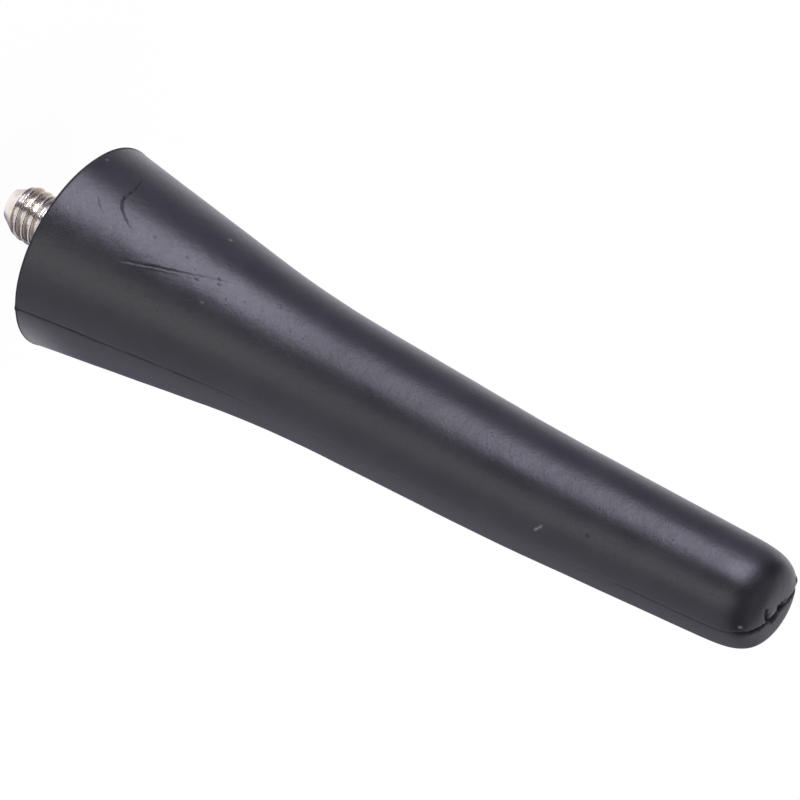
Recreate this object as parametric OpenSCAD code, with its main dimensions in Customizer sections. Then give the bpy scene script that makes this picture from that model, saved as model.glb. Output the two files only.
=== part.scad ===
// Short rubber mast aerial with a threaded stud.
// The seat, where the mast stands on its base, is the plane z = 0. The mast rises along +Z
// and the stud points down. The mast is a used one, which has set with a slight lean towards -X.

/* [Rubber cover] */
// Height of the mast above its seat
mast_h = 72; // [64:1:90]
// Diameter of the foot at the seat
foot_d = 19; // [16:0.5:24]
// Radius on the lower edge of the foot
foot_edge_r = 0.2; // [0.1:0.1:1]
// Height at which the flared foot meets the slender shaft
waist_h = 23; // [18:1:32]
// Diameter where the two tapers would cross
waist_d = 12.4; // [11.4:0.1:13.6]
// Length over which the foot blends into the shaft
blend_len = 11.5; // [4:0.5:18]
// Diameter that the shaft's taper reaches at the very tip
tip_d = 9; // [8.8:0.1:11]
// Height of the rounded tip
tip_round_h = 6; // [3:0.1:7]
// Squareness of the rounded tip, where 2 is an ellipse
tip_power = 4; // [2:0.1:5]
// Solid rubber between the sleeve's end and the tip
tip_wall = 5.5; // [4:0.5:9]

/* [Set of the used mast] */
// Lean of the mast's lower run away from square to its seat, in degrees
lean_low = 0.85; // [0:0.05:2]
// Lean of its upper run, in degrees
lean_high = 2.78; // [0:0.02:4]
// Height at which the two runs meet
bend_h = 47.2; // [40:0.2:54]
// Length over which one run bends into the other
bend_len = 8; // [2:1:12]

/* [Threaded stud] */
// Major diameter of the thread
thread_d = 5; // [4:0.5:6]
// Pitch of the thread, which is right-handed
thread_pitch = 0.8; // [0.7:0.05:1]
// Turn of the thread about its axis, in degrees
thread_turn = 189; // [0:1:359]
// Length of the stud below the seat
stud_len = 8; // [6:0.5:12]
// Length of the plain neck between the seat and the thread
neck_len = 1.5; // [1:0.1:2.5]
// Diameter of the flat end of the stud
stud_end_d = 3.4; // [2.6:0.1:3.8]
// Length of the tapered lead-in at the end of the stud
lead_in_len = 1.3; // [0.8:0.1:1.6]
// Diameter of the shoulder that lies flush with the rubber
shoulder_d = 10.6; // [9.4:0.2:13]
// Thickness of the shoulder
shoulder_t = 1.2; // [0.8:0.1:2]
// Diameter of the knurled body over the tips of its teeth
knurl_d = 8.6; // [7.8:0.1:9]
// Length of the knurled body
knurl_len = 5; // [3:0.5:8]
// Number of teeth around the knurl
knurl_teeth = 24; // [16:1:32]
// Depth of the knurl's teeth
knurl_depth = 0.4; // [0.2:0.05:0.5]
// Diameter of the groove that locks the rubber on the stud
lock_groove_d = 5.8; // [5.2:0.1:6.2]
// Length of that groove
lock_groove_len = 1.4; // [0.8:0.1:2.4]
// Outer diameter of the ferrule that holds the rod
ferrule_d = 6.4; // [5.8:0.1:6.8]
// Length of the ferrule above the groove
ferrule_len = 4.6; // [3:0.2:7]
// Depth of the rod's socket, from the top of the ferrule
socket_depth = 7; // [4:0.5:9]

/* [Rod and winding] */
// Diameter of the rod
rod_d = 4; // [3.4:0.1:4.2]
// Diameter of the winding's wire
wire_d = 0.7; // [0.4:0.05:0.8]
// Number of turns in the winding
winding_turns = 36; // [24:1:44]
// Bare length of the rod above the last turn
rod_end_bare = 1.2; // [0.6:0.1:3]
// Arc that the solder covers beside the start of the wire, in degrees
solder_arc = 110; // [60:5:170]

/* [Sleeve] */
// Wall thickness of the sleeve
sleeve_wall = 0.35; // [0.2:0.05:0.5]
// How far the sleeve reaches down over the ferrule
sleeve_lap = 2.6; // [1:0.1:3]
// How far the sleeve reaches past the end of the rod
sleeve_past_rod = 1; // [0.5:0.1:2]

/* [Fits] */
// Clearance between pieces that are moulded, pressed or shrunk on each other
fit_gap = 0.02; // [0.01:0.01:0.05]

/* [Hidden] */

round_fn = 96;
// How far a cutting solid reaches past the face that it cuts
cut_past = 1;

// Stud, from the seat upwards
neck_r = thread_d / 2;
groove_z = shoulder_t + knurl_len;
ferrule_z = groove_z + lock_groove_len;
ferrule_top_z = ferrule_z + ferrule_len;
socket_z = ferrule_top_z - socket_depth;
socket_r = rod_d / 2 + fit_gap;
knurl_root_r = knurl_d / 2 - knurl_depth;

// Thread profile of 60 degrees: crest flat, two flanks and root flat add up to one pitch
// The crests stand this far inside the plain neck
crest_inset = 0.02;
crest_r = thread_d / 2 - crest_inset;
thread_depth = 0.6134 * thread_pitch;
crest_flat = thread_pitch / 8;
flank_len = thread_depth * tan(30);
root_flat = thread_pitch - crest_flat - 2 * flank_len;
thread_steps = 30;
// The strip starts this far below the stud's end, to be cut off flat there
thread_start_z = -stud_len - 1.5 * thread_pitch;
thread_turns = ceil((-neck_len - thread_start_z) / thread_pitch + 0.1);
// Point of the profile at which each row of the thread's mesh starts, with its share of the depth
thread_rows = [[0, 1], [root_flat, 1], [root_flat + flank_len, 0], [root_flat + flank_len + crest_flat, 0]];

// Rod and winding
rod_top_z = mast_h - tip_wall - sleeve_past_rod;
wire_r = wire_d / 2;
winding_steps = 12;
// The wire is a chain of straight pieces, so its corners lie outside the true circle
coil_r = (rod_d / 2 + wire_r + fit_gap) / cos(180 / winding_steps);
coil_start_z = ferrule_top_z + wire_r + fit_gap;
coil_end_z = rod_top_z - rod_end_bare - wire_r;
coil_pitch = (coil_end_z - coil_start_z) / winding_turns;
wire_sides = 6;

// Sleeve
sleeve_in_r = coil_r + wire_r + fit_gap;
sleeve_out_r = sleeve_in_r + sleeve_wall;
sleeve_lap_r = ferrule_d / 2 + fit_gap;
sleeve_top_z = rod_top_z + sleeve_past_rod;
sleeve_end_z = ferrule_top_z - sleeve_lap;
// The sleeve steps in from the ferrule to the winding over this height
sleeve_step_h = 1.2;

// Heights of the rings on which the leaning pieces bend
bend_steps = 4;
bend_rings = [for (i = [0 : bend_steps]) bend_h + bend_len * (i / bend_steps - 0.5)];
cover_sides = 60;
inner_sides = 40;

// Outline of the cover: lower taper, blend and upper taper
foot_slope = (foot_d - waist_d) / 2 / waist_h;
shaft_slope = (waist_d - tip_d) / 2 / (mast_h - waist_h);
blend_z0 = waist_h - blend_len / 2;
blend_points = 10;
tip_points = 14;
edge_points = 3;

function foot_r(z) = foot_d / 2 - foot_slope * z;
function shaft_r(z) = waist_d / 2 - shaft_slope * (z - waist_h);
function blend_r(z) = foot_r(z) + (foot_slope - shaft_slope) * pow(z - blend_z0, 2) / (2 * blend_len);

// A superellipse times the shaft's taper closes the tip
function tip_point(t) =
    let (u = sin(90 * t), z = mast_h - tip_round_h * (1 - u))
    [shaft_r(z) * pow(1 - pow(u, tip_power), 1 / tip_power), z];

// A quarter round breaks the lower edge of the foot
function edge_point(t) =
    let (z = foot_edge_r * (1 - cos(90 * t)))
    [foot_r(z) - foot_edge_r * (1 - sin(90 * t)), z];

cover_outline = concat(
    [[0, 0]],
    [for (i = [0 : edge_points]) edge_point(i / edge_points)],
    [for (i = [0 : blend_points])
        let (z = blend_z0 + blend_len * i / blend_points) [blend_r(z), z]],
    [for (z = bend_rings) [shaft_r(z), z]],
    [for (i = [0 : tip_points - 1]) tip_point(i / tip_points)],
    [[0, mast_h]]
);

// Sideways place of the mast's centreline at a height: two straight runs with a parabola between them
function lean_x(z) =
    let (start = bend_h - bend_len / 2, t = max(0, min(z - start, bend_len)))
    -tan(lean_low) * z
    - (tan(lean_high) - tan(lean_low)) * (t * t / (2 * bend_len) + max(0, z - start - bend_len));

// The pieces inside stand square in the stud, and follow the lean above its ferrule
function inner_x(z) = z < ferrule_top_z ? 0 : lean_x(z) - lean_x(ferrule_top_z);

// Points of the rings round a leaning centreline, one ring for each point of an outline
function ring_points(outline, sides, inner) = [
    for (p = outline, k = [0 : sides - 1])
        let (a = 360 * k / sides)
        [p[0] * cos(a) + (inner ? inner_x(p[1]) : lean_x(p[1])), p[0] * sin(a), p[1]]
];

// Two triangles for each side between a ring and the next, which may be the first again
function ring_faces(rings, sides, closed) = [
    for (i = [0 : closed ? rings - 1 : rings - 2], k = [0 : sides - 1], half = [0, 1])
        let (
            a = i * sides + k,
            b = i * sides + (k + 1) % sides,
            c = ((i + 1) % rings) * sides + k,
            d = ((i + 1) % rings) * sides + (k + 1) % sides
        )
        half == 0 ? [a, c, b] : [b, c, d]
];

// Solid whose outline starts and ends on the centreline, carried up the lean
module leaning_solid(outline, sides, inner) {
    rings = [for (i = [1 : len(outline) - 2]) outline[i]];
    low = len(rings) * sides;
    ends = [for (p = [outline[0], outline[len(outline) - 1]])
        [inner ? inner_x(p[1]) : lean_x(p[1]), 0, p[1]]];
    polyhedron(
        points = concat(ring_points(rings, sides, inner), ends),
        faces = concat(
            ring_faces(len(rings), sides, false),
            [for (k = [0 : sides - 1]) [low, k, (k + 1) % sides]],
            [for (k = [0 : sides - 1]) [low + 1, low - sides + (k + 1) % sides, low - sides + k]]
        )
    );
}

// Outline of the sleeve's outside, grown by a clearance, from below to above
function sleeve_outside(gap) = concat(
    [
        [sleeve_lap_r + sleeve_wall + gap, sleeve_end_z - gap],
        [sleeve_lap_r + sleeve_wall + gap, ferrule_top_z],
        [sleeve_out_r + gap, ferrule_top_z + sleeve_step_h]
    ],
    [for (z = bend_rings) [sleeve_out_r + gap, z]],
    [[sleeve_out_r + gap, sleeve_top_z + gap]]
);

// Points of the toothed section, with every second point at the root
function knurl_section(gap) = [
    for (i = [0 : 2 * knurl_teeth - 1])
        let (r = (i % 2 == 0 ? knurl_d / 2 : knurl_root_r) + gap, a = 180 * i / knurl_teeth)
        [r * cos(a), r * sin(a)]
];

// Solid metal of the stud above the seat, grown by a clearance to make the space in the rubber
module stud_anchor(gap) {
    rotate_extrude($fn = round_fn)
        polygon([
            [0, -cut_past],
            [shoulder_d / 2 + gap, -cut_past],
            [shoulder_d / 2 + gap, shoulder_t + gap],
            [lock_groove_d / 2 + gap, shoulder_t + gap],
            [lock_groove_d / 2 + gap, ferrule_z - gap],
            [ferrule_d / 2 + gap, ferrule_z - gap],
            [ferrule_d / 2 + gap, ferrule_top_z],
            [0, ferrule_top_z]
        ]);
    translate([0, 0, shoulder_t])
        linear_extrude(knurl_len + gap)
            polygon(knurl_section(gap));
}

// The rubber surrounds the stud and the sleeve, and plugs the sleeve's open end above the rod
module mast_cover() {
    color("#26262b")
    difference() {
        leaning_solid(cover_outline, cover_sides, false);
        stud_anchor(fit_gap);
        leaning_solid(
            concat(
                [[0, sleeve_end_z - fit_gap]],
                sleeve_outside(fit_gap),
                [
                    [sleeve_in_r - fit_gap, sleeve_top_z + fit_gap],
                    [sleeve_in_r - fit_gap, rod_top_z + fit_gap],
                    [0, rod_top_z + fit_gap]
                ]
            ),
            inner_sides,
            true
        );
    }
}

// Radius that the lead-in leaves at a height, from the stud's end upwards
function lead_in_r(z) =
    stud_end_d / 2 + (crest_r - stud_end_d / 2) * max(0, z + stud_len) / lead_in_len;

// One point of the helical skin: the profile's row is counted along the strip and the step around it
function thread_point(row, step) =
    let (
        part = thread_rows[row % len(thread_rows)],
        turn = floor(row / len(thread_rows)),
        z = thread_start_z + thread_pitch * (turn + step / thread_steps) + part[0],
        r = min(crest_r - thread_depth * part[1], lead_in_r(z)),
        a = 360 * step / thread_steps
    )
    [r * cos(a), r * sin(a), z];

// A strip with the thread's profile winds up the stud. Its two ragged ends are closed by fans from the
// axis: the lower one is cut off flat below, and the upper one lies inside the plain neck.
module thread_strip() {
    m = len(thread_rows);
    rows = m * thread_turns;
    width = rows + 1;
    skin = [for (step = [0 : thread_steps - 1], row = [0 : rows]) thread_point(row, step)];
    // Past the last step the strip meets its own start, one turn higher
    last = [for (row = [rows - m + 1 : rows]) thread_point(row, thread_steps)];
    low = len(skin) + m;
    high = low + 1;
    function at(row, step) =
        step < thread_steps ? step * width + row
        : row + m <= rows ? row + m
        : len(skin) + row - (rows - m + 1);
    polyhedron(
        points = concat(
            skin, last,
            [for (turn = [0, thread_turns]) [0, 0, thread_start_z + thread_pitch * (turn + 0.5)]]
        ),
        faces = concat(
            [for (step = [0 : thread_steps - 1], row = [0 : rows - 1])
                [at(row, step), at(row + 1, step), at(row, step + 1)]],
            [for (step = [0 : thread_steps - 1], row = [0 : rows - 1])
                [at(row + 1, step), at(row + 1, step + 1), at(row, step + 1)]],
            [for (step = [0 : thread_steps - 1]) [low, at(0, step), at(0, step + 1)]],
            [for (row = [0 : m - 1]) [low, row + 1, row]],
            [for (step = [0 : thread_steps - 1]) [high, at(rows, step + 1), at(rows, step)]],
            [for (row = [rows - m : rows - 1]) [high, at(row, thread_steps), at(row + 1, thread_steps)]]
        )
    );
}

module threaded_stud() {
    color("#c9bfa6")
    difference() {
        union() {
            intersection() {
                rotate([0, 0, thread_turn]) thread_strip();
                translate([0, 0, -stud_len])
                    cylinder(r = thread_d, h = stud_len + shoulder_t / 2, $fn = round_fn);
            }
            translate([0, 0, -neck_len]) cylinder(r = neck_r, h = neck_len + shoulder_t / 2, $fn = round_fn);
            intersection() {
                stud_anchor(0);
                cylinder(r = foot_d, h = ferrule_top_z, $fn = round_fn);
            }
        }
        translate([0, 0, socket_z]) cylinder(r = socket_r, h = socket_depth + cut_past, $fn = round_fn);
    }
}

module winding_rod() {
    color("#d8d2b0")
    leaning_solid(
        concat(
            [[0, socket_z], [rod_d / 2, socket_z], [rod_d / 2, ferrule_top_z]],
            [for (z = bend_rings) [rod_d / 2, z]],
            [[rod_d / 2, rod_top_z], [0, rod_top_z]]
        ),
        inner_sides,
        true
    );
}

// Corner of the wire's section at one step of the helix
function wire_point(step, side) =
    let (
        a = 360 * step / winding_steps,
        b = 360 * side / wire_sides,
        r = coil_r + wire_r * cos(b),
        z = coil_start_z + coil_pitch * step / winding_steps + wire_r * sin(b)
    )
    [r * cos(a) + inner_x(z), r * sin(a), z];

module antenna_winding() {
    steps = winding_turns * winding_steps;
    n = wire_sides;
    color("#b5642c")
    polyhedron(
        points = [for (step = [0 : steps], side = [0 : n - 1]) wire_point(step, side)],
        faces = concat(
            [[for (side = [n - 1 : -1 : 0]) side]],
            [[for (side = [0 : n - 1]) steps * n + side]],
            [for (step = [0 : steps - 1], side = [0 : n - 1])
                [step * n + side, step * n + (side + 1) % n, (step + 1) * n + side]],
            [for (step = [0 : steps - 1], side = [0 : n - 1])
                [step * n + (side + 1) % n, (step + 1) * n + (side + 1) % n, (step + 1) * n + side]]
        )
    );
}

module shrink_sleeve() {
    last = len(bend_rings) - 1;
    section = concat(
        [[sleeve_in_r, sleeve_top_z]],
        [for (i = [last : -1 : 0]) [sleeve_in_r, bend_rings[i]]],
        [
            [sleeve_in_r, ferrule_top_z + sleeve_step_h],
            [sleeve_lap_r, ferrule_top_z],
            [sleeve_lap_r, sleeve_end_z]
        ],
        sleeve_outside(0)
    );
    color("#1a1a1c")
    polyhedron(
        points = ring_points(section, inner_sides, true),
        faces = ring_faces(len(section), inner_sides, true)
    );
}

// A fillet of solder stands on the ferrule beside the rod and ends at the start of the wire
module solder_joint() {
    color("#b9bcc2")
    rotate([0, 0, -solder_arc])
        rotate_extrude(angle = solder_arc - 1, $fn = round_fn)
            polygon([
                [rod_d / 2 + fit_gap, ferrule_top_z],
                [coil_r + wire_r - fit_gap, ferrule_top_z],
                [rod_d / 2 + wire_r, ferrule_top_z + 0.7 * wire_d],
                [rod_d / 2 + fit_gap, ferrule_top_z + wire_d]
            ]);
}

mast_cover();
threaded_stud();
winding_rod();
antenna_winding();
shrink_sleeve();
solder_joint();
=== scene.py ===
"""Looks of the short rubber mast aerial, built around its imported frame.

The mast stands along +Z on its foot at the origin, and the threaded stud points down. The used
mast leans and bends a little towards -X, so every piece is carried along a leaning centreline.
Lengths are in millimetres up to the point where a mesh is written.
"""
import math

import bpy
import numpy as np
from mathutils import Matrix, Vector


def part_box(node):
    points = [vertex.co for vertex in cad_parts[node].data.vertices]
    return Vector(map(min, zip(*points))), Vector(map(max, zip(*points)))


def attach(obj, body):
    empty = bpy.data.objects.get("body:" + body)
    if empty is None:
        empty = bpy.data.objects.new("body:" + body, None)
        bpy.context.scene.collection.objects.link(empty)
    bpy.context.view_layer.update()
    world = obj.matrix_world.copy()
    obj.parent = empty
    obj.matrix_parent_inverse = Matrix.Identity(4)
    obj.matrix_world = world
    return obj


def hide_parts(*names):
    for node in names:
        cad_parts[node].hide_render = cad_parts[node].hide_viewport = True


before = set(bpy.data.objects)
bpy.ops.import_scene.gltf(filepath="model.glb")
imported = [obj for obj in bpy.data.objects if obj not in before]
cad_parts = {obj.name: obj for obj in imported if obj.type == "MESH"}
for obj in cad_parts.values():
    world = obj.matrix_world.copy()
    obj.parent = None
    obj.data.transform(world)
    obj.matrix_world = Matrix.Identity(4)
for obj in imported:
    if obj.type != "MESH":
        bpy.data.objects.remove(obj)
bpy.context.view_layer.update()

MM = 0.001

# Cover, as in the model
MAST_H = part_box("mast_cover")[1].z / MM
FOOT_D = 19.0
EDGE_R = 0.2
WAIST_H = 23.0
WAIST_D = 12.4
BLEND_LEN = 11.5
TIP_D = 9.0
TIP_ROUND_H = 6.0
TIP_POWER = 4.0
SHAFT_TOP = MAST_H - TIP_ROUND_H
UNDERSIDE_R = 7.4

# Stud
STUD_LEN = -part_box("threaded_stud")[0].z / MM
FERRULE_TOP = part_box("threaded_stud")[1].z / MM
THREAD_R = 2.48
THREAD_PITCH = 0.8
THREAD_DEPTH = 0.44
NECK_R = 2.5
NECK_LEN = 1.5
LEAD_IN = 1.6
STUD_END_R = 1.55
SHOULDER_R = 5.3
SHOULDER_T = 1.2
KNURL_R = 4.3
KNURL_LEN = 5.0
KNURL_DEPTH = 0.4
KNURL_TEETH = 24
GROOVE_R = 2.9
GROOVE_LEN = 1.4
FERRULE_R = 3.2
SOCKET_R = 2.02
# Height of a thread crest on the +X side, which turns the thread as the photograph shows it
THREAD_CREST_Z = -5.95

# Rod, winding, sleeve and solder
ROD_R = 2.0
ROD_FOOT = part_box("winding_rod")[0].z / MM
ROD_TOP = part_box("winding_rod")[1].z / MM
WIRE_R = 0.35
WINDING_TURNS = 36
WINDING_R = ROD_R + WIRE_R + 0.1
WINDING_Z = (12.57, 63.95)
SLEEVE_IN_R = 2.82
SLEEVE_WALL = 0.35
SLEEVE_STEP = 1.2
SLEEVE_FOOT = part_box("shrink_sleeve")[0].z / MM
SLEEVE_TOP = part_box("shrink_sleeve")[1].z / MM
# Solder fillet: how far it runs round the rod in degrees, how far its middle lies from the rod and
# above the ferrule, and the half width and half height of its section
SOLDER_ARC = 109.0
SOLDER_OUT = 0.33
SOLDER_UP = 0.34
SOLDER_HALF_W = 0.29
SOLDER_HALF_H = 0.33
FIT = 0.02

# Set of the used mast, as in the model: two straight runs that lean towards -X, and a bend between
LEAN_LOW = math.tan(math.radians(0.85))
LEAN_HIGH = math.tan(math.radians(2.78))
BEND_H = 47.2
BEND_LEN = 8.0
# The stud stands a little out of true below the foot: sideways shift for each millimetre of depth
STUD_LEAN = 0.032

# Plane in which the two halves of the mould meet, through the axis
PARTING = math.radians(-38.0)

# Camera: the photograph's frame, with a long lens
FRAME_PX = 800
FOCAL_PX = 6000.0
SENSOR = 36.0
FOOT_PX = (84.81, 246.70)
PX_PER_MM = 11.553
MAST_SLOPE = math.radians(29.379)
MAST_TILT = math.radians(24.257)


def smooth(x, low, high):
    """Smooth step: 0 below low, 1 above high, and 3tt - 2ttt between, with t the share of the way."""
    t = np.clip((x - low) / (high - low), 0, 1)
    return t * t * (3 - 2 * t)


def lean_x(z):
    """Sideways place of the cover's centreline: two straight runs with a parabola between them."""
    start = BEND_H - BEND_LEN / 2
    t = np.clip(z - start, 0, BEND_LEN)
    past = np.maximum(0, z - start - BEND_LEN)
    return -LEAN_LOW * z - (LEAN_HIGH - LEAN_LOW) * (t * t / (2 * BEND_LEN) + past)


def inner_x(z):
    """Sideways place of the pieces inside: the stud's own slope below the foot, square up to the
    top of the ferrule, and the cover's lean from there."""
    return np.where(z < 0, STUD_LEAN * z, np.where(z < FERRULE_TOP, 0, lean_x(z) - lean_x(FERRULE_TOP)))


def ripple(x, y, length, seed):
    """Sum of eight plane waves of about the given length in random directions, from -1 to 1."""
    rng = np.random.default_rng(seed)
    total = np.zeros(np.broadcast(x, y).shape)
    for _ in range(8):
        angle, phase = rng.uniform(0, 2 * np.pi, 2)
        k = 2 * np.pi / (length * rng.uniform(0.7, 1.5))
        total = total + np.sin(k * (x * np.cos(angle) + y * np.sin(angle)) + phase)
    return total / 8


def spread(*zones):
    """Places along a line, from zones that each give a start, an end and a spacing."""
    runs = [np.linspace(a, b, max(1, round((b - a) / step)), endpoint=False) for a, b, step in zones]
    return np.concatenate(runs + [[zones[-1][1]]])


def eased(points, step):
    """Corner points with more points put between them, no further apart than step."""
    points = np.asarray(points, float)
    runs = []
    for a, b in zip(points[:-1], points[1:]):
        count = max(1, math.ceil(np.hypot(*(b - a)) / step))
        runs.append(a + (b - a) * np.arange(count)[:, None] / count)
    return np.concatenate(runs + [points[-1:]])


def bent(x, y, z, line=inner_x):
    """Points of a straight piece carried along a leaning centreline."""
    x, y, z = np.broadcast_arrays(x, y, z)
    return np.stack([x + line(z), y, z], axis=-1)


def skin(name, grid, start=None, end=None, closed_rows=False, marks=None):
    """Mesh of a grid of points, rows by columns, whose columns close on themselves. A start or end
    point closes that end with a fan. Faces look to the side given by the column direction crossed
    with the row direction. marks holds arrays of one number for each grid point."""
    rows, cols = grid.shape[:2]
    index = np.arange(rows * cols).reshape(rows, cols)
    if closed_rows:
        index = np.vstack([index, index[:1]])
    after = np.roll(index, -1, axis=1)
    quads = np.stack([index[:-1], after[:-1], after[1:], index[1:]], axis=-1).reshape(-1, 4)
    points = [grid.reshape(-1, 3)]
    fans = []
    tip_rows = []
    for point, row, turn in ((start, 0, 1), (end, -1, -1)):
        if point is None:
            continue
        pole = np.full(cols, rows * cols + len(tip_rows))
        fans.append(np.stack([pole, after[row], index[row]][::turn], axis=-1))
        points.append(np.asarray(point, float).reshape(1, 3))
        tip_rows.append(row)
    points = np.concatenate(points) * MM
    corners = np.concatenate([quads.ravel()] + [f.ravel() for f in fans])
    sizes = np.concatenate([np.full(len(quads), 4)] + [np.full(len(f), 3) for f in fans])
    mesh = bpy.data.meshes.new(name)
    mesh.vertices.add(len(points))
    mesh.vertices.foreach_set("co", points.ravel())
    mesh.loops.add(len(corners))
    mesh.loops.foreach_set("vertex_index", corners.astype(np.int32))
    mesh.polygons.add(len(sizes))
    mesh.polygons.foreach_set("loop_start", (np.cumsum(sizes) - sizes).astype(np.int32))
    mesh.polygons.foreach_set("use_smooth", np.ones(len(sizes), bool))
    for key, values in (marks or {}).items():
        full = np.concatenate([values.ravel(), [values[row].mean() for row in tip_rows]])
        layer = mesh.attributes.new(key, "FLOAT", "POINT")
        layer.data.foreach_set("value", full.astype(np.float32))
    mesh.update(calc_edges=True)
    mesh.validate()
    mesh.set_sharp_from_angle(angle=math.radians(40))
    piece = bpy.data.objects.new(name, mesh)
    bpy.context.scene.collection.objects.link(piece)
    return piece


def turned(path, angles):
    """Surface of revolution: each row is a circle of the path's radius at the path's height."""
    r, z = path[:, 0][:, None], path[:, 1][:, None]
    return bent(r * np.cos(angles), r * np.sin(angles), z + 0 * angles)


def even_angles(count):
    """Angles that go once round, without the last, which is the first again."""
    return np.arange(count) * 2 * np.pi / count


# Cover


def foot_r(z):
    """Radius of the lower taper."""
    return FOOT_D / 2 - (FOOT_D - WAIST_D) / 2 / WAIST_H * z


def shaft_r(z):
    """Radius of the upper taper."""
    return WAIST_D / 2 - (WAIST_D - TIP_D) / 2 / (MAST_H - WAIST_H) * (z - WAIST_H)


def outline_r(z):
    """Radius of the cover below the rounded tip: two tapers with a parabola between them."""
    low = WAIST_H - BLEND_LEN / 2
    change = (FOOT_D - WAIST_D) / 2 / WAIST_H - (WAIST_D - TIP_D) / 2 / (MAST_H - WAIST_H)
    blend = foot_r(z) + change * (z - low) ** 2 / (2 * BLEND_LEN)
    return np.where(z < low, foot_r(z), np.where(z > low + BLEND_LEN, shaft_r(z), blend))


# Zones of the cover's rows, by height, and of its columns, by angle in degrees, each with a start, an
# end and a spacing. They lie closer where the creases, the scratch, the pits and the mould line are
SIDE_ROWS = [
    (EDGE_R, 0.6, 0.05), (0.6, 2.6, 0.2), (2.6, 12, 0.12), (12, 18, 0.15), (18, 51, 0.7),
    (51, 52.6, 0.1), (52.6, 55.6, 0.7), (55.6, 56.5, 0.1), (56.5, 60, 0.7), (60, SHAFT_TOP, 0.3),
]
COLUMNS = [
    (-180, -152, 2.8), (-152, -120, 0.8), (-120, -90, 0.4), (-90, -76, 2.4), (-76, -70, 0.9),
    (-70, -65, 2.5), (-65, -54, 0.9), (-54, -42, 2.4), (-42, -41, 0.5), (-41, -35, 0.25),
    (-35, 138, 3.3), (138, 146, 0.4), (146, 180, 2.8),
]
# Spacing of the rows over the rounded tip, and the closer one over its last stretch
TIP_ROW = 0.14
TIP_FINE_ROW = 0.06
TIP_FINE_LEN = 2.2
# How far the middle of the tip stands above the last row, and how far from it that row lies
TIP_CAP = 0.002
TIP_LAST = 0.05


def cover_path():
    """Radius and height of each row of the cover's outside, from the lower edge to just short of the
    tip. The edge is a quarter round, and the tip a superellipse times the shaft's taper."""
    edge_rows, tip_points = 12, 4000
    t = np.linspace(0, np.pi / 2, edge_rows)
    edge_z = EDGE_R * (1 - np.cos(t))
    edge = np.stack([foot_r(edge_z) - EDGE_R * (1 - np.sin(t)), edge_z], axis=1)
    side_z = spread(*SIDE_ROWS)
    side = np.stack([outline_r(side_z), side_z], axis=1)
    u = np.sin(np.linspace(0, np.pi / 2, tip_points))
    z = MAST_H - TIP_ROUND_H * (1 - u)
    tip = np.stack([shaft_r(z) * (1 - u ** TIP_POWER) ** (1 / TIP_POWER), z], axis=1)
    along = np.concatenate([[0], np.cumsum(np.hypot(*np.diff(tip, axis=0).T))])
    fine = along[-1] - TIP_FINE_LEN
    places = spread((0.15, fine, TIP_ROW), (fine, along[-1] - TIP_LAST, TIP_FINE_ROW))
    tip = np.stack([np.interp(places, along, tip[:, k]) for k in (0, 1)], axis=1)
    return np.concatenate([edge, side[1:], tip])


def cavity_path():
    """Space in the rubber, from the top of the plug down to the underside: plug, sleeve, ferrule,
    locking groove, knurl and shoulder."""
    lap_r = FERRULE_R + FIT + SLEEVE_WALL
    groove_z = SHOULDER_T + KNURL_LEN
    ferrule_z = groove_z + GROOVE_LEN
    return eased([
        (SLEEVE_IN_R - FIT, ROD_TOP + FIT),
        (SLEEVE_IN_R - FIT, SLEEVE_TOP + FIT),
        (SLEEVE_IN_R + SLEEVE_WALL + FIT, SLEEVE_TOP + FIT),
        (SLEEVE_IN_R + SLEEVE_WALL + FIT, FERRULE_TOP + SLEEVE_STEP),
        (lap_r + FIT, FERRULE_TOP),
        (lap_r + FIT, SLEEVE_FOOT - FIT),
        (FERRULE_R + FIT, SLEEVE_FOOT - FIT),
        (FERRULE_R + FIT, ferrule_z - FIT),
        (GROOVE_R + FIT, ferrule_z - FIT),
        (GROOVE_R + FIT, groove_z + FIT),
        (KNURL_R + FIT, groove_z + FIT),
        (KNURL_R + FIT, SHOULDER_T + FIT),
        (SHOULDER_R + FIT, SHOULDER_T + FIT),
        (SHOULDER_R + FIT, 0),
        (UNDERSIDE_R, 0),
    ], step=4.5)


# Creases in the rubber of the foot: depth, half width, and points of angle in degrees, height and
# strength
CREASES = [
    (0.06, 0.06, [(-146, 4.3, 0.3), (-141, 4.6, 1.1), (-135, 4.85, 1.4), (-128.5, 4.7, 1.1),
                  (-125, 4.8, 1.2), (-122, 5.05, 1.2), (-119, 5.45, 0.8), (-116.5, 5.95, 0.6),
                  (-113.5, 6.65, 0.5), (-111.5, 7.3, 0.1)]),
    (0.02, 0.06, [(-127.5, 4.8, 1), (-129.5, 5.8, 0.8), (-133, 7.0, 0.7), (-141.5, 8.6, 0.2)]),
    (0.02, 0.05, [(-118, 2.95, 0.5), (-114.5, 3.5, 1), (-110.5, 4.35, 0.3)]),
    (0.07, 0.07, [(-92.5, 8.05, 0.3), (-94, 8.6, 0.9), (-97.5, 10.05, 1.2), (-101, 11.5, 0.9),
                  (-104.5, 13, 0.55), (-112.5, 15.6, 0.25), (-118.5, 17.45, 0.1)]),
]
# Small pits, as angle in degrees, height, radius and depth. The last, on the rim, stands out
PITS = [
    (-115.5, 9.25, 0.10, 0.03), (-115.5, 12.6, 0.10, 0.03), (-105.5, 14.5, 0.10, 0.05),
    (-114.5, 16.05, 0.10, 0.05), (-111, 16.4, 0.10, 0.05), (-73, 56.05, 0.15, 0.05),
    (-37.4, 0.12, 0.26, -0.10),
]
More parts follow.
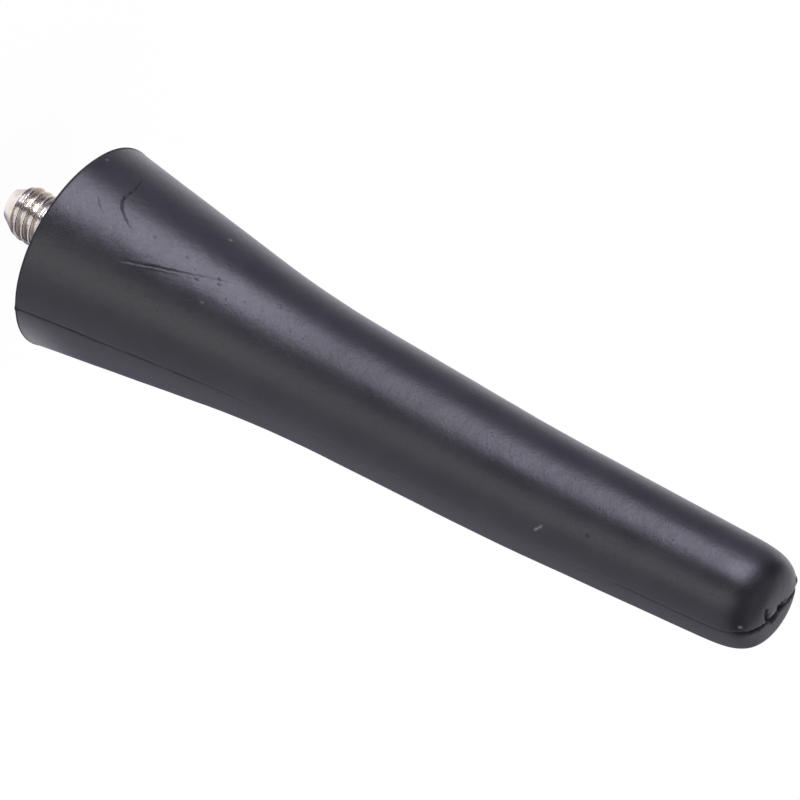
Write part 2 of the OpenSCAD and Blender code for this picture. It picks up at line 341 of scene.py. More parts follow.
# Light grains on the rubber: angle in degrees, height, radius and strength. Those from 51 to 52 mm up
# make a short scratch
GRAINS = [
    (-148, 13.95, 0.13, 0.9), (-142, 0.8, 0.12, 0.5), (-94, 16.1, 0.12, 0.3), (-49.5, 70.9, 0.12, 0.9),
    (-56, 51.55, 0.08, 1.1), (-57.5, 51.66, 0.09, 1.2), (-59, 51.78, 0.08, 0.7), (-60.5, 51.9, 0.09, 1.0),
    (-62, 52.0, 0.08, 0.7),
]
# How far a grain stands out
GRAIN_H = 0.02
# Torn rubber on top of the tip: depth, half width, and points along and across the parting plane
# with their strength
TEARS = [
    (0.24, 0.18, [(1.7, -1.6, 0.5), (1.74, -0.83, 1), (1.5, -0.05, 1)]),
    (0.30, 0.34, [(1.5, 0, 1), (0.36, 0.1, 1)]),
    (0.34, 0.44, [(-0.3, -0.35, 1), (0.2, 0, 1), (0.6, 0.35, 1)]),
    (0.22, 0.28, [(-0.2, 0.05, 1), (-2.3, -0.1, 1), (-3.4, -0.1, 0.9)]),
    (0.16, 0.23, [(1.4, 0.05, 1), (2.4, 0.08, 1), (3.4, 0, 0.9), (4, 0.05, 0.8), (4.3, 0.1, 0.2)]),
]
# Flash on the parting line beyond the tear: height, half width and points as for a tear
FLASH = (0.12, 0.17, [(-3.12, -1.0, 0.9), (-3.2, -0.65, 0.9), (-3.1, -0.4, 0.2)])
# Raised flap beside the tear: along, across, radius and height
FLAP = (1.05, -0.6, 0.42, 0.10)
# Line between the mould halves: the depth of its groove, how much deeper it is at the tip, its half
# width, and how far the half on the +X side is set in
LINE_DEPTH = 0.08
LINE_DEEPER = 0.03
LINE_HALF_W = 0.125
HALF_STEP = 0.03
# Groove round the rim of the foot: its height, half height and depth. The flash on the rim: its
# height, half height and how far it stands out
RIM_GROOVE = (0.14, 0.09, 0.03)
RIM_FLASH = (0.10, 0.12, 0.11)
# Shallow waves in the whole outside: height, length and seed
WAVES = [(0.018, 6.0, 21), (0.006, 1.7, 22)]


def distance_to_path(x, y, points):
    """Distance on a flat sheet to a chain of straight segments, the strength at the nearest point of
    it, and which side it lies on: positive to the left of the nearest segment."""
    best = np.full(x.shape, np.inf)
    side = np.zeros(x.shape)
    strength = np.zeros(x.shape)
    for (x0, y0, s0), (x1, y1, s1) in zip(points[:-1], points[1:]):
        dx, dy = x1 - x0, y1 - y0
        t = np.clip(((x - x0) * dx + (y - y0) * dy) / (dx * dx + dy * dy), 0, 1)
        away = np.hypot(x - x0 - t * dx, y - y0 - t * dy)
        nearer = away < best
        side = np.where(nearer, np.sign(dx * (y - y0) - dy * (x - x0)), side)
        strength = np.where(nearer, s0 + (s1 - s0) * t, strength)
        best = np.minimum(away, best)
    return best, strength, side


def arc_at(angle, z):
    """Distance round the cover of an angle in degrees: the angle times the outline's radius there."""
    return math.radians(angle) * float(outline_r(np.array(min(z, SHAFT_TOP))))


def bell(arc, z, angle, height, size):
    """Bell of the given radius round a point of the cover, 1 in its middle."""
    return np.exp(-((arc - arc_at(angle, height)) ** 2 + (z - height) ** 2) / size ** 2)


def mould_marks(phi, along, across, z):
    """Height, painted shade and mould half, from the marks of moulding. Across the parting plane the
    height takes a small smooth step down to the +X side, and a bell-shaped groove runs there, which
    fades up the foot, comes back near the tip and breaks off in places. The rim of the foot has a fine
    groove with painted shade in it, and a thin flash on the two sides the mould halves reach furthest.
    The mould-line groove is also painted dark as its shade."""
    top = smooth(z, MAST_H - 3, MAST_H - 0.4)
    torn = top * 0.10 * ripple(along, 0 * along, 1.1, 5) * smooth(3.2 - np.abs(along + 0.4), 0, 1.5)
    wander = 0.03 * ripple(z, 0 * z, 5.0, 11) + 0.02 * ripple(z, 0 * z, 1.3, 12) + torn
    line = across - wander
    half = smooth(line, -0.04, 0.04)
    width = LINE_HALF_W + 0.04 * ripple(z + along, 0 * z, 2.2, 13)
    shown = 1 - 0.3 * smooth(z, 4, 9) - 0.62 * smooth(z, 15, 25)
    shown = shown + 0.42 * smooth(z, 56, 63) + 0.5 * smooth(z, 69.5, 71)
    shown = shown * np.clip(0.9 + 0.6 * ripple(z + along, 0 * z, 3.2, 14), 0, 1)
    groove = shown * np.exp(-(line / width) ** 2)
    rim_z, rim_half, rim_depth = RIM_GROOVE
    rim = np.exp(-((z - rim_z) / rim_half) ** 2)
    flash_z, flash_half, flash_out = RIM_FLASH
    flash = np.exp(-((z - flash_z) / flash_half) ** 2) * smooth(np.abs(np.cos(phi)), 0.7, 0.98)
    depth = (LINE_DEPTH + LINE_DEEPER * top) * smooth(z, 0, 0.6)
    height = HALF_STEP - HALF_STEP * half - depth * groove - rim_depth * rim + flash_out * flash
    # The second value is painted shade: dark colour along the mould-line groove and the rim groove
    return height, np.maximum(0.95 * groove, 0.9 * rim), half


def crease_marks(arc, z, height, shade_and_dirt):
    """Height and painted shade with the creases added: each is a bell-shaped groove along its path,
    with a raised lip on one side, and dark colour painted along it as its shade."""
    jagged_arc = arc + 0.06 * ripple(z, arc, 0.8, 32)
    for depth, width, points in CREASES:
        path = [(arc_at(angle, h), h, strength) for angle, h, strength in points]
        away, strength, side = distance_to_path(jagged_arc, z, path)
        strength = strength * (0.85 + 0.3 * ripple(z, arc, 1.2, 31))
        groove = strength * np.exp(-(away / width) ** 2)
        lip = strength * np.exp(-((away - 0.2) / 0.08) ** 2)
        height = height - depth * groove + 0.35 * depth * lip * (side < 0)
        # Painted shade along each crease
        shade_and_dirt = np.maximum(shade_and_dirt, groove * (0.3 + 8 * depth))
    return height, shade_and_dirt


def tear_marks(along, across, z, height, shade_and_dirt):
    """Height and painted shade with the torn place on top of the tip added, and the share of its raised
    flap. Each tear is a steep ragged trough along its path, and the deepest one counts at each point.
    The troughs and the flash ridge are painted dark as their shade."""
    over = (z > MAST_H - 1.5) * 1.0
    along, across = along + 0 * z, across + 0 * z
    torn_depth = 0 * height
    for depth, width, points in TEARS:
        away, strength, _ = distance_to_path(along, across, points)
        ragged = width * (1 + 0.6 * ripple(along, across, 0.6, 41))
        trough = over * strength * np.exp(-(away / ragged) ** 4)
        torn_depth = np.maximum(torn_depth, depth * trough)
        # Painted shade in each tear's trough
        shade_and_dirt = np.maximum(shade_and_dirt, trough)
    flash_h, flash_half, points = FLASH
    away, strength, _ = distance_to_path(along, across, points)
    ridge = over * strength * np.exp(-(away / flash_half) ** 2)
    flap_along, flap_across, flap_r, flap_h = FLAP
    flap = over * np.exp(-((along - flap_along) ** 2 + (across - flap_across) ** 2) / flap_r ** 2)
    # Painted shade along the flash ridge
    return height - torn_depth + flash_h * ridge + flap_h * flap, np.maximum(shade_and_dirt, ridge), flap


def cover_marks(phi, r, z):
    """Height of the surface over the plain outline, with the shares of painted shade, mould half, and
    painted
    sheen with pale marks: shallow waves, then the marks of moulding, creases, tears, pits and grains one
    after another. The painted sheen is a reflection painted low on the +X half of the foot, strongest
    towards its side; a faint paler tone lies at its tip, and pale marks lie on the flap and the grains."""
    across = r * np.sin(phi - PARTING)
    along = r * np.cos(phi - PARTING)
    height, shade_and_dirt, half = mould_marks(phi, along, across, z)
    arc = phi * outline_r(np.minimum(z, SHAFT_TOP))
    for strength, length, seed in WAVES:
        height = height + strength * ripple(arc, z, length, seed)
    height, shade_and_dirt = crease_marks(arc, z, height, shade_and_dirt)
    height, shade_and_dirt, flap = tear_marks(along, across, z, height, shade_and_dirt)
    turn = np.degrees(phi) - np.degrees(PARTING)
    # Painted reflection: a lighter tone low on the foot, strongest around the +X side
    foot_sheen = smooth(turn, -4, 34) * smooth(-turn, -100, -60) * np.exp(-(z / 3.4) ** 2)
    sheen_and_pale_marks = half * np.maximum(foot_sheen, 0.05 * smooth(z, MAST_H - 5, MAST_H - 1.2))
    sheen_and_pale_marks = np.maximum(sheen_and_pale_marks, 0.22 * flap)
    for angle, h, size, depth in PITS:
        spot = bell(arc, z, angle, h, size)
        height = height - depth * spot
        # Painted shade in and round each pit
        shade_and_dirt = np.maximum(shade_and_dirt, spot * (0.25 + 6 * abs(depth)))
    for angle, h, size, strength in GRAINS:
        spot = bell(arc, z, angle, h, size)
        height = height + GRAIN_H * spot
        sheen_and_pale_marks = np.maximum(sheen_and_pale_marks, strength * spot)
    return height, {"shade_and_dirt": np.clip(shade_and_dirt, 0, 1), "half": half + 0 * height, "sheen_and_pale_marks": np.clip(sheen_and_pale_marks, 0, 1)}


def make_mast_cover():
    """Closed shell of revolution along the leaning centreline. Its outside is lifted along the
    outline's own normal by the marks that use and moulding left on it, which fade out on the edge."""
    angles = np.radians(spread(*COLUMNS)[:-1])
    outer = cover_path()
    slope = np.gradient(outer, axis=0)
    slope = slope / np.linalg.norm(slope, axis=1)[:, None]
    normal_r, normal_z = slope[:, 1][:, None], -slope[:, 0][:, None]
    r, z = outer[:, 0][:, None], outer[:, 1][:, None]
    height, marks = cover_marks(angles[None, :], r, z)
    height = height * smooth(z, -0.3, 0.25)
    rr, zz = r + normal_r * height, z + normal_z * height
    outside = bent(rr * np.cos(angles), rr * np.sin(angles), zz, lean_x)
    inside = turned(cavity_path(), angles)
    grid = np.concatenate([inside, outside])
    blank = np.zeros(inside.shape[:2])
    marks = {key: np.concatenate([blank, values]) for key, values in marks.items()}
    plug = bent(0, 0, ROD_TOP + FIT)
    top = bent(0, 0, zz[-1].mean() + TIP_CAP, lean_x)
    return skin("rubber_cover", grid, start=plug, end=top, marks=marks)


# Stud


def thread_shape(turn):
    """Share of the thread's depth at a share of one turn: 0 on the flat crest and 1 in the root, with a
    straight flank between them. A sine wave under a parabola rounds the flank's two corners."""
    away = np.abs((turn + 0.5) % 1 - 0.5)
    crest, root, rounding = 0.085, 0.36, 0.11
    t = np.clip((away - crest) / (root - crest), 0, 1)
    return t + rounding * np.sin(2 * np.pi * t) * (t - 1) * t * 4


# Grime and painted shade in the thread: where the dark band starts above a crest and how thick it
# lies, as shares of the pitch, and how much thicker it is painted as shade in a stripe along the stud
# and on the +X side
GRIME_AND_SHADE_FROM = 0.16
GRIME_AND_SHADE_THICK = 0.08
SHADE_STRIPE = 0.09
SHADE_STRIPE_AT = 3.68
SHADE_STRIPE_HALF = 0.35
SHADE_LOW = 0.06


def stud_r(z, phi):
    """Radius of the stud below the foot: thread, lead-in cone at the end and plain neck. Also the
    share of grime and painted shade, a bell in the thread between a crest and the root above it,
    thicker and darker as painted shade in a stripe and on the +X side."""
    crest = THREAD_CREST_Z + THREAD_PITCH * phi / (2 * np.pi)
    turn = (z - crest) / THREAD_PITCH
    depth = THREAD_DEPTH * thread_shape(turn)
    runout = smooth(z, -NECK_LEN - 0.5 * THREAD_PITCH, -NECK_LEN)
    thread = THREAD_R - depth * (1 - runout)
    lead_in = STUD_END_R + (THREAD_R - STUD_END_R) * (z + STUD_LEN) / LEAD_IN
    cut = smooth(lead_in - thread, -0.1, 0.15) * (1 - runout)
    # Painted shade: the dark band is thicker and darker on the +X side and in a stripe along the stud
    low = ((1 + np.cos(phi)) / 2) ** 3
    stripe = np.exp(-((phi - SHADE_STRIPE_AT) / SHADE_STRIPE_HALF) ** 2)
    thick = GRIME_AND_SHADE_THICK + SHADE_STRIPE * stripe + SHADE_LOW * low
    grime_and_shade = cut * (0.05 + 4 * thick + 0.35 * low)
    grime_and_shade = grime_and_shade * np.exp(-(((turn % 1) - GRIME_AND_SHADE_FROM - thick) / thick) ** 2)
    return np.minimum(np.where(z > -NECK_LEN, NECK_R, thread), lead_in), grime_and_shade


def make_stud():
    """Turned stud in one piece: circles of the turned outline's radius. The thread is a helical wave
    on the lower rows, and the knurl a triangle wave round the rows of the anchor."""
    thread_row, neck_row, bevel = 0.022, 0.2, 0.12
    angles = even_angles(144)
    z = spread((-STUD_LEN, -NECK_LEN, thread_row), (-NECK_LEN, 0, neck_row))[:, None]
    r, grime_and_shade = stud_r(z, angles[None, :])
    threaded = bent(r * np.cos(angles), r * np.sin(angles), z)
    flat_end = turned(np.array([(0.7, -STUD_LEN), (STUD_END_R - 0.05, -STUD_LEN)]), angles)
    groove_z = SHOULDER_T + KNURL_LEN
    ferrule_z = groove_z + GROOVE_LEN
    collar = turned(eased([
        (SHOULDER_R - bevel, 0), (SHOULDER_R, bevel), (SHOULDER_R, SHOULDER_T - bevel),
        (SHOULDER_R - bevel, SHOULDER_T),
    ], step=1), angles)
    knurl_z = np.linspace(SHOULDER_T, groove_z, 8)[:, None]
    tooth = np.abs((angles * KNURL_TEETH / (2 * np.pi) + 0.5) % 1 - 0.5) * 2
    knurl = KNURL_R - KNURL_DEPTH * tooth[None, :] + 0 * knurl_z
    knurl = bent(knurl * np.cos(angles), knurl * np.sin(angles), knurl_z)
    ferrule = turned(eased([
        (GROOVE_R, groove_z), (GROOVE_R, ferrule_z), (FERRULE_R, ferrule_z),
        (FERRULE_R, FERRULE_TOP - bevel), (FERRULE_R - bevel, FERRULE_TOP), (SOCKET_R, FERRULE_TOP),
        (SOCKET_R, ROD_FOOT),
    ], step=1), angles)
    grid = np.concatenate([flat_end, threaded, collar, knurl, ferrule])
    marks = np.zeros(grid.shape[:2])
    marks[len(flat_end):len(flat_end) + len(grime_and_shade)] = grime_and_shade
    return skin("turned_stud", grid, start=bent(0, 0, -STUD_LEN), end=bent(0, 0, ROD_FOOT),
                marks={"grime_and_shade": marks})


# Rod, winding, sleeve and solder


def make_rod():
    """Round rod with broken edges, carried along the leaning centreline."""
    edge = 0.15
    path = eased([
        (ROD_R - edge, ROD_FOOT), (ROD_R, ROD_FOOT + edge), (ROD_R, ROD_TOP - edge),
        (ROD_R - edge, ROD_TOP),
    ], step=1.5)
    return skin("glass_fibre_rod", turned(path, even_angles(64)),
                start=bent(0, 0, ROD_FOOT), end=bent(0, 0, ROD_TOP))


def make_winding():
    """Round wire in a right-handed helix on the rod: a circle in the plane through the axis, carried
    round and up."""
    sections_per_turn = 28
    steps = np.linspace(0, 1, WINDING_TURNS * sections_per_turn + 1)[:, None]
    turn = 2 * np.pi * WINDING_TURNS * steps
    side = -even_angles(12)[None, :]
    r = WINDING_R + WIRE_R * np.cos(side)
    z = WINDING_Z[0] + (WINDING_Z[1] - WINDING_Z[0]) * steps + WIRE_R * np.sin(side)
    grid = bent(r * np.cos(turn), r * np.sin(turn), z)
    return skin("copper_winding", grid, start=grid[0].mean(axis=0), end=grid[-1].mean(axis=0))


def make_sleeve():
    """Tube shrunk over the winding and the ferrule, wider over the ferrule: a closed section
    turned about the leaning centreline."""
    lap = FERRULE_R + FIT
    path = eased([
        (SLEEVE_IN_R, SLEEVE_TOP), (SLEEVE_IN_R, FERRULE_TOP + SLEEVE_STEP), (lap, FERRULE_TOP),
        (lap, SLEEVE_FOOT), (lap + SLEEVE_WALL, SLEEVE_FOOT), (lap + SLEEVE_WALL, FERRULE_TOP),
        (SLEEVE_IN_R + SLEEVE_WALL, FERRULE_TOP + SLEEVE_STEP), (SLEEVE_IN_R + SLEEVE_WALL, SLEEVE_TOP),
        (SLEEVE_IN_R, SLEEVE_TOP),
    ], step=1.2)[:-1]
    return skin("shrunk_sleeve", turned(path, even_angles(72)), closed_rows=True)


def make_solder():
    """Fillet of solder beside the rod: a rounded section, wider at its foot, carried along an arc and
    closed at its ends."""
    turn = np.radians(-np.linspace(SOLDER_ARC, 1, 40))[:, None]
    side = -even_angles(16)[None, :]
    r = ROD_R + SOLDER_OUT + SOLDER_HALF_W * np.cos(side) * (1 - 0.45 * np.sin(side))
    z = FERRULE_TOP + SOLDER_UP + SOLDER_HALF_H * np.sin(side)
    grid = bent(r * np.cos(turn), r * np.sin(turn), z)
    return skin("solder_fillet", grid, start=grid[0].mean(axis=0), end=grid[-1].mean(axis=0))


# Materials


class Signal:
    """A node's output on which arithmetic works: an expression adds the Math nodes for it."""

    def __init__(self, sheet, socket):
        self.sheet = sheet
        self.socket = socket

    def math(self, operation, *values):
        """Output of a Math node on the given values."""
        return self.sheet.node("ShaderNodeMath", {"operation": operation}, dict(enumerate(values)))

    def __add__(self, other):
        return self.math("ADD", self, other)

    def __sub__(self, other):
        return self.math("SUBTRACT", self, other)

    def __rsub__(self, other):
        return self.math("SUBTRACT", other, self)

    def __mul__(self, other):
        return self.math("MULTIPLY", self, other)

    def __truediv__(self, other):
        return self.math("DIVIDE", self, other)

    __radd__ = __add__

    def step(self, low, high):
        """Smooth step from 0 at low to 1 at high."""
        return self.sheet.node("ShaderNodeMapRange", {"interpolation_type": "SMOOTHSTEP"},
                               {"Value": self, "From Min": low, "From Max": high})


class Sheet:
    """Writes the nodes of one material or of the world."""

    def __init__(self, tree):
        self.tree = tree
        tree.nodes.clear()

    def node(self, kind, settings=None, values=None, output=0):
        """Adds a node, applies its settings, links or sets its inputs, and gives one of its outputs."""
        made = self.tree.nodes.new(kind)
        for key, value in (settings or {}).items():
            setattr(made, key, value)
        for key, value in (values or {}).items():
            if isinstance(value, Signal):
                self.tree.links.new(value.socket, made.inputs[key])
            else:
                made.inputs[key].default_value = value
        return Signal(self, made.outputs[output]) if made.outputs else made

    def place(self):
        """Place on the piece, in metres from its own origin."""
        return self.node("ShaderNodeTexCoord", output="Object")

    def noise(self, size, detail=2.0, rough=0.5):
        """Noise from 0 to 1 whose largest grains are about size millimetres."""
        return self.node("ShaderNodeTexNoise", None, {
            "Vector": self.place(), "Scale": 1 / (size * MM), "Detail": detail, "Roughness": rough})

    def cells(self, size):
        """Distance to the nearest of many scattered points, in shares of size millimetres."""
        return self.node("ShaderNodeTexVoronoi", None, {
            "Vector": self.place(), "Scale": 1 / (size * MM)}, "Distance")

    def mix(self, share, colour_a, colour_b):
        """Colour that lies a share of the way from the first to the second."""
        return self.node("ShaderNodeMix", {"data_type": "RGBA"}, {0: share, 6: colour_a, 7: colour_b}, 2)

    def scaled(self, colour, share):
        """Colour times a share."""
        return self.node("ShaderNodeVectorMath", {"operation": "SCALE"}, {"Vector": colour, "Scale": share})

    def sum(self, a, b):
        """Two colours added."""
        return self.node("ShaderNodeVectorMath", {"operation": "ADD"}, {0: a, 1: b})

    def bump(self, height, distance, normal=None):
        """Normal tilted by a height from 0 to 1 that stands for distance millimetres."""
        values = {"Height": height, "Distance": distance * MM, "Strength": 1.0}
        if normal is not None:
            values["Normal"] = normal
        return self.node("ShaderNodeBump", None, values)

    def mark(self, name):
        """One of the marks that the mesh carries, such as the painted shade."""
        return self.node("ShaderNodeAttribute", {"attribute_name": name}, None, "Fac")


def grey(level):
    """A neutral colour."""
    return (level, level, level, 1.0)


def finish(name, recipe):
    """Material whose recipe gives the inputs of one Principled shader."""
    material = bpy.data.materials.new(name)
    material.use_nodes = True
    sheet = Sheet(material.node_tree)
    shader = sheet.node("ShaderNodeBsdfPrincipled", None, recipe(sheet))
    sheet.node("ShaderNodeOutputMaterial", None, {"Surface": shader})
    return material


RUBBER_DARK = (0.0120, 0.0116, 0.0155, 1.0)
RUBBER_PALE = (0.0175, 0.0170, 0.0215, 1.0)
RUBBER_LOWER = (0.0215, 0.0210, 0.0260, 1.0)
# Lighter tone of the painted sheen low on the foot, also used for the pale marks
RUBBER_SHEEN_AND_PALE_MARKS = (0.2200, 0.2140, 0.2310, 1.0)
# Near-black of the painted shade in grooves, creases, tears and pits, partly dirt
RUBBER_SHADE_AND_DIRT = (0.0030, 0.0030, 0.0040, 1.0)


def rubber(s):
    """Moulded rubber: dark and satin, with fine grain, small dark specks, cloudy patches, a rougher
    and paler lower mould half, pale marks with a painted sheen low on the foot, and painted shade,
    partly dirt, in the creases, grooves and mould line."""
    half, shade_and_dirt, sheen_and_pale_marks = s.mark("half"), s.mark("shade_and_dirt"), s.mark("sheen_and_pale_marks")
    cloud = s.noise(4.0, 3.0)
    grain = s.noise(0.28, 2.0, 0.6)
    speck = 1 - s.cells(0.9).step(0.05, 0.10)
    tone = s.mix(cloud.step(0.3, 0.7), RUBBER_DARK, RUBBER_PALE)
    tone = s.mix(half, tone, RUBBER_LOWER)
    # Painted sheen and pale marks
    tone = s.mix(sheen_and_pale_marks * (0.75 + grain * 0.5), tone, RUBBER_SHEEN_AND_PALE_MARKS)
    # Dark specks, and painted shade in the grooves
    tone = s.mix(speck * 0.35 + shade_and_dirt, tone, RUBBER_SHADE_AND_DIRT)
    rough = 0.36 + (cloud - 0.5) * 0.10 + (grain - 0.5) * 0.16 + half * 0.12 + shade_and_dirt * 0.5
    relief = s.bump(grain, 0.0115)
    relief = s.bump(s.noise(0.7, 3.0) + (1 - speck), 0.0125, relief)
    relief = s.bump(s.noise(2.5, 2.0), 0.03, relief)
    return {"Base Color": tone, "Roughness": rough, "Normal": relief, "IOR": 1.5}


NICKEL = (0.80, 0.765, 0.70, 1.0)
NICKEL_WARM = (0.66, 0.55, 0.38, 1.0)
NICKEL_WORN = (0.62, 0.50, 0.38, 1.0)
NICKEL_STAIN = (0.10, 0.085, 0.07, 1.0)
# Brown and olive of the grime and painted shade in the thread
NICKEL_BROWN_GRIME_AND_SHADE = (0.055, 0.038, 0.032, 1.0)
NICKEL_OLIVE_GRIME_AND_SHADE = (0.17, 0.125, 0.055, 1.0)


def nickel(s):
    """Bright nickel plate on brass: slightly uneven, with warm places where the brass comes through,
    a worn end, brown grime with painted shade in the thread, and a stained, dull face on the collar
    under the rubber."""
    patch = s.noise(1.6, 3.0).step(0.45, 0.75)
    grime_and_shade = s.mark("grime_and_shade") * (0.55 + s.noise(1.1, 2.0) * 0.8)
    height = s.node("ShaderNodeSeparateXYZ", None, {"Vector": s.place()}, "Z")
    stained = height.step(-0.3 * MM, -0.05 * MM)
    worn = (1 - height.step(-7.6 * MM, -6.6 * MM)) * s.noise(1.1, 2.0).step(0.42, 0.58)
    tone = s.mix(patch * 0.7, NICKEL, NICKEL_WARM)
    tone = s.mix(worn * 0.9, tone, NICKEL_WORN)
    tone = s.mix(stained * 0.85, tone, NICKEL_STAIN)
    # Grime and painted shade in the thread, from brown to olive
    tone = s.mix(grime_and_shade, tone, s.mix(s.noise(2.3), NICKEL_BROWN_GRIME_AND_SHADE, NICKEL_OLIVE_GRIME_AND_SHADE))
    rough = 0.14 + patch * 0.10 + (s.noise(0.25) - 0.5) * 0.08 + stained * 0.35 + grime_and_shade * 0.2
    relief = s.bump(s.noise(0.35, 2.0), 0.008)
    relief = s.bump(s.noise(1.2, 2.0), 0.10, relief)
    return {"Base Color": tone, "Roughness": rough, "Normal": relief, "Metallic": 1.0}


def glass_fibre(s):
    """Resin-bound glass fibre: pale, with long strands along the rod."""
    strand = 0.25
    strands = s.node("ShaderNodeTexNoise", None, {
        "Vector": s.node("ShaderNodeMapping", None, {"Vector": s.place(), "Scale": (1, 1, 0.03)}),
        "Scale": 1 / (strand * MM), "Detail": 2.0})
    tone = s.mix(strands.step(0.35, 0.65), (0.72, 0.69, 0.52, 1), (0.82, 0.80, 0.68, 1))
    return {"Base Color": tone, "Roughness": 0.35 + strands * 0.2, "Normal": s.bump(strands, 0.01)}


def enamelled_copper(s):
    """Copper wire under clear enamel, a little uneven in tone."""
    cloud = s.noise(2.0)
    tone = s.mix(cloud.step(0.3, 0.7), (0.62, 0.24, 0.10, 1), (0.72, 0.33, 0.15, 1))
    return {"Base Color": tone, "Roughness": 0.22 + cloud * 0.15, "Metallic": 1.0,
            "Normal": s.bump(s.noise(0.3), 0.004)}


def shrink_tube(s):
    """Heat-shrunk tube: black and smooth, with faint wrinkles."""
    wrinkle = s.noise(1.2, 3.0)
    tone = s.mix(wrinkle, grey(0.012), grey(0.022))
    return {"Base Color": tone, "Roughness": 0.4 + wrinkle * 0.15, "Normal": s.bump(wrinkle, 0.05)}


def solder(s):
    """Dull solder with a frosted skin."""
    frost = s.noise(0.2, 3.0)
    tone = s.mix(frost, grey(0.55), grey(0.72))
    return {"Base Color": tone, "Roughness": 0.35 + frost * 0.2, "Metallic": 1.0,
            "Normal": s.bump(frost, 0.01)}


# Studio: camera, floor and light


def make_camera():
    """Camera placed from where the foot's centre falls in the frame, the scale there, and the
    slope and tilt of the mast. Columns are the mast's own axes seen by a camera that looks along
    its third axis, with its second axis down."""
    cs, ss = math.cos(MAST_SLOPE), math.sin(MAST_SLOPE)
    ct, st = math.cos(MAST_TILT), math.sin(MAST_TILT)
    seen = np.array([(-ss, cs * st, cs * ct), (cs, ss * st, ss * ct), (0, ct, -st)])
    reach = FOCAL_PX / PX_PER_MM
    foot = reach * np.array([
        (FOOT_PX[0] - FRAME_PX / 2) / FOCAL_PX, (FOOT_PX[1] - FRAME_PX / 2) / FOCAL_PX, 1.0])
    pose = np.eye(4)
    pose[:3, :3] = seen.T @ np.diag([1, -1, -1])
    pose[:3, 3] = -seen.T @ foot * MM
    lens = bpy.data.cameras.new("camera")
    lens.sensor_width = SENSOR
    lens.lens = SENSOR * FOCAL_PX / FRAME_PX
    lens.clip_start = 0.02
    camera = bpy.data.objects.new("camera", lens)
    camera.matrix_world = Matrix(pose.tolist())
    bpy.context.scene.collection.objects.link(camera)
    bpy.context.scene.camera = camera


# The floor's radius in metres, how far below the stud it lies, and the share of it that is plain white
FLOOR_R = 1.6
FLOOR_BELOW = 0.02
FLOOR_GLOW = 0.96


def make_floor():
    """Round pale floor under the stud. Rays from the camera see it mostly as plain white, and the
    rest of its brightness is lit, which keeps the shadow."""
    bpy.ops.mesh.primitive_circle_add(vertices=96, radius=FLOOR_R, fill_type="NGON",
                                      location=(0, 0, (-STUD_LEN - FLOOR_BELOW) * MM))
    floor = bpy.context.object
    floor.name = "floor"
    material = bpy.data.materials.new("pale_floor")
    material.use_nodes = True
    s = Sheet(material.node_tree)
    seen = s.node("ShaderNodeLightPath", output="Is Camera Ray")
    seen = seen + s.node("ShaderNodeLightPath", output="Is Glossy Ray")
    seen = seen + s.node("ShaderNodeLightPath", output="Is Transmission Ray")
    fibre = s.noise(3.0, 2.0)
    tone = s.mix(fibre, grey(0.98), grey(1.0))
    lit = s.node("ShaderNodeBsdfDiffuse", None, {"Color": tone})
    glow = s.node("ShaderNodeEmission", None, {"Color": grey(1.0), "Strength": 1.0})
    shader = s.node("ShaderNodeMixShader", None, {0: seen * FLOOR_GLOW, 1: lit, 2: glow})
    s.node("ShaderNodeOutputMaterial", None, {"Surface": shader})
    floor.data.materials.append(material)
    floor.visible_glossy = False
    floor.visible_shadow = False


# What shiny surfaces see, as plain strengths where 1 is white: the pale room low down, what the belt
# above it takes away, and what the ceiling and the floor right below add. Heights are in degrees
ROOM_LOW = (0.76, 0.74, 0.87)
BELT = {"low": -4, "high": 20, "colour": (-0.72, -0.70, -0.82)}
CEILING = {"low": 28, "high": 66, "colour": (0.40, 0.39, 0.43)}
BELOW = {"low": -70, "high": -50, "colour": (0.34, 0.33, 0.27)}


def field(azimuth, half, low, high, soft, colour):
    """One soft-edged panel: the direction and half width, the heights it reaches from and to, and the
    softness of its edges in degrees, and its colour."""
    return {"azimuth": azimuth, "half": half, "low": low, "high": high, "soft": soft, "colour": colour}


KEY = field(-132, 21, -21, 4, 4, (6.2, 6.0, 7.4))
RIM = field(116, 22, -45, 22, 9, (0.15, 0.15, 0.16))
FOOT_RIM = field(112, 30, -14, 20, 7, (0.50, 0.50, 0.50))
FOOT_EDGE = field(117, 15, -45, -21.5, 3, (0.48, 0.48, 0.47))
SIDE = field(-61, 14, -21, 4, 7, (1.38, 1.33, 1.22))
DARK_FRONT = field(-98, 9, -60, 20, 6, (-0.60, -0.59, -0.68))
BACK = field(180, 24, -60, 20, 9, (-0.35, -0.35, -0.35))
FAR = field(70, 22, -60, 20, 12, (-0.45, -0.45, -0.45))
FAR_TOP = field(88, 60, 14, 56, 10, (0.72, 0.70, 0.76))
FIELDS = (KEY, RIM, FOOT_RIM, FOOT_EDGE, SIDE, DARK_FRONT, BACK, FAR, FAR_TOP)


def rising(z, low, high):
    """Smooth step up between two heights in degrees."""
    return z.step(math.sin(math.radians(low)), math.sin(math.radians(high)))


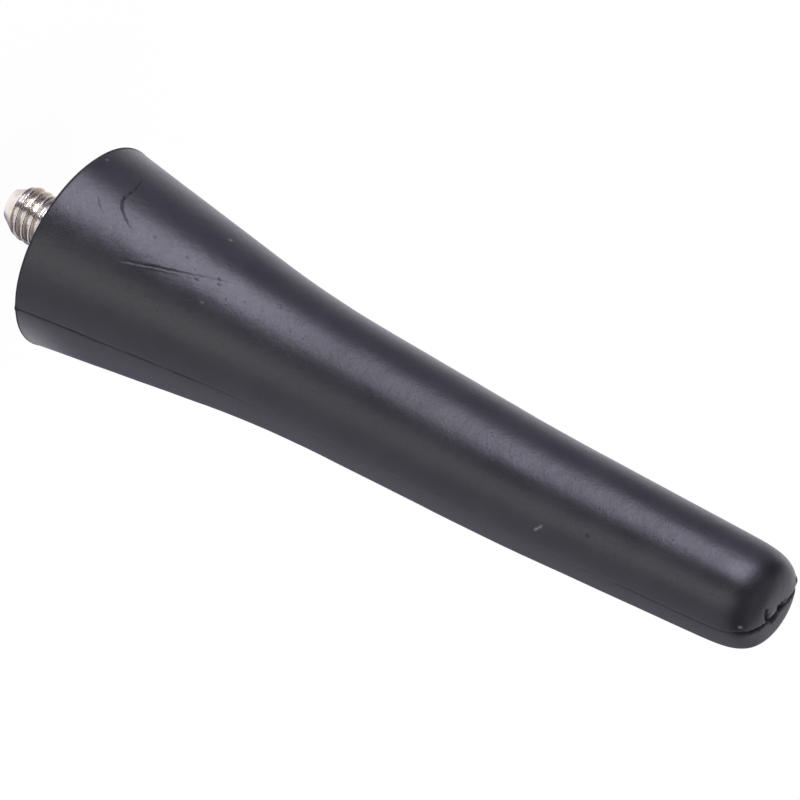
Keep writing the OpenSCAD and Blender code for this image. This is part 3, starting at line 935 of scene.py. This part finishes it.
def panel(s, x, y, z, azimuth, half, low, high, soft, colour):
    """A soft-edged field of light in the given directions, all angles in degrees. A colour below 0
    takes light away."""
    level = x * x + y * y + 1e-6
    flat = level.math("SQRT", level)
    facing = (x * math.cos(math.radians(azimuth)) + y * math.sin(math.radians(azimuth))) / flat
    inside = facing.step(math.cos(math.radians(half + soft)), math.cos(math.radians(half - soft)))
    above = rising(z, low - soft, low + soft)
    below = 1 - rising(z, high - soft, high + soft)
    return s.scaled(colour, inside * above * below)


def light_world():
    """The room. The camera and see-through rays meet a white background, matt surfaces an even
    white light, and shiny ones a pale floor side, a dim ceiling and a few soft panels. The share of
    each part of the room is a smooth step of the height looked at."""
    world = bpy.data.worlds.new("studio")
    bpy.context.scene.world = world
    world.use_nodes = True
    s = Sheet(world.node_tree)
    way = s.node("ShaderNodeTexCoord", output="Generated")
    x, y, z = (s.node("ShaderNodeSeparateXYZ", None, {"Vector": way}, axis) for axis in "XYZ")
    room = s.sum(s.scaled(BELT["colour"], rising(z, BELT["low"], BELT["high"])), ROOM_LOW)
    room = s.sum(s.scaled(CEILING["colour"], rising(z, CEILING["low"], CEILING["high"])), room)
    room = s.sum(s.scaled(BELOW["colour"], 1 - rising(z, BELOW["low"], BELOW["high"])), room)
    for spot in FIELDS:
        room = s.sum(panel(s, x, y, z, **spot), room)
    glossy = s.node("ShaderNodeLightPath", output="Is Glossy Ray")
    seen = s.mix(glossy, grey(1.0), room)
    light = s.node("ShaderNodeBackground", None, {"Color": seen, "Strength": 1.0})
    s.node("ShaderNodeOutputWorld", None, {"Surface": light})


make_camera()
light_world()
make_floor()

PIECES = [
    (make_mast_cover, "mast_cover", "black_rubber", rubber),
    (make_stud, "threaded_stud", "nickel_plate", nickel),
    (make_rod, "winding_rod", "glass_fibre", glass_fibre),
    (make_winding, "antenna_winding", "enamelled_copper", enamelled_copper),
    (make_sleeve, "shrink_sleeve", "shrink_tube", shrink_tube),
    (make_solder, "solder_joint", "solder", solder),
]
for make, node, slot, recipe in PIECES:
    piece = make()
    material = finish(slot, recipe)
    piece.data.materials.append(material)
    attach(piece, "root")
    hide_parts(node)
    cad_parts[node].data.materials.clear()
    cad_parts[node].data.materials.append(material)

bpy.context.scene.view_settings.view_transform = "Standard"
